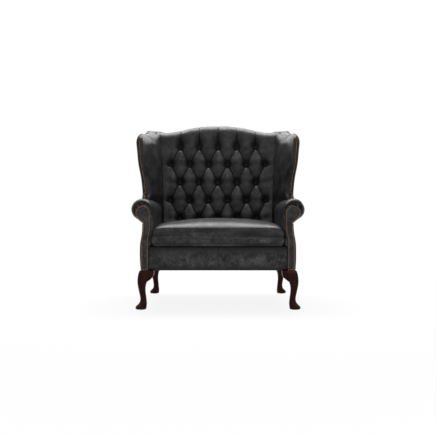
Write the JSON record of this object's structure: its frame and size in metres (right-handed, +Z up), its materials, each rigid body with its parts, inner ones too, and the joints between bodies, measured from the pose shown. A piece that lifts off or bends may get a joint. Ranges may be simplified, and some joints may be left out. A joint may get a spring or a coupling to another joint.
{
  "type": "cuddle chair",
  "caption": "Black leather cuddle chair: buttoned camel back, wings, nailed scroll arms, loose seat cushion and carved mahogany cabriole legs.",
  "frame": {"origin": "on the floor, under the middle of the chair's bounding box", "axes": "+X across the chair towards the arm on the right in the picture, +Y towards its back, +Z up"},
  "size_m": [0.9596, 0.8476, 1.0944],
  "materials": {
    "black_leather": "waxed, mottled grey where it is rubbed",
    "mahogany": "dark lacquer",
    "antique_brass": "antiqued",
    "frame_timber": "plain",
    "steel": "plain",
    "foam": "matt",
    "jute": "woven",
    "black_cloth": "woven"
  },
  "bodies": {
    "chair": {"back_buttons": "black_leather", "back_centre_slat": "frame_timber", "back_foam": "foam", "back_lower_rail": "frame_timber", "back_top_rail": "frame_timber", "back_webbing": "jute", "dust_cover": "black_cloth", "foot_glides": "steel", "front_border": "black_leather", "front_left_leg": "mahogany", "front_right_leg": "mahogany", "front_seat_rail": "frame_timber", "inside_back": "black_leather", "left_arm_facing": "black_leather", "left_arm_rail": "frame_timber", "left_arm_stump": "frame_timber", "left_arm_tack_rail": "frame_timber", "left_back_post": "frame_timber", "left_facing_nails": "antique_brass", "left_inside_arm": "black_leather", "left_inside_wing": "black_leather", "left_outside_arm": "black_leather", "left_outside_wing": "black_leather", "left_side_seat_rail": "frame_timber", "left_wing_board": "frame_timber", "left_wing_nails": "antique_brass", "leg_bolts": "steel", "outside_back": "black_leather", "rear_left_leg": "mahogany", "rear_right_leg": "mahogany", "rear_seat_rail": "frame_timber", "right_arm_facing": "black_leather", "right_arm_rail": "frame_timber", "right_arm_stump": "frame_timber", "right_arm_tack_rail": "frame_timber", "right_back_post": "frame_timber", "right_facing_nails": "antique_brass", "right_inside_arm": "black_leather", "right_inside_wing": "black_leather", "right_outside_arm": "black_leather", "right_outside_wing": "black_leather", "right_side_seat_rail": "frame_timber", "right_wing_board": "frame_timber", "right_wing_nails": "antique_brass", "seat_corner_blocks": "frame_timber", "seat_deck": "black_cloth", "seat_hessian": "jute", "seat_lip": "black_leather", "seat_springs": "steel", "spring_clips": "steel"},
    "seat_cushion": {"seat_cushion_cover": "black_leather", "seat_cushion_foam": "foam"}
  },
  "joints": [
    {"name": "cushion_lift", "type": "slide", "parent": "chair", "child": "seat_cushion", "axis": [0, 0, 1], "range_m": [0, 0.3]}
  ]
}
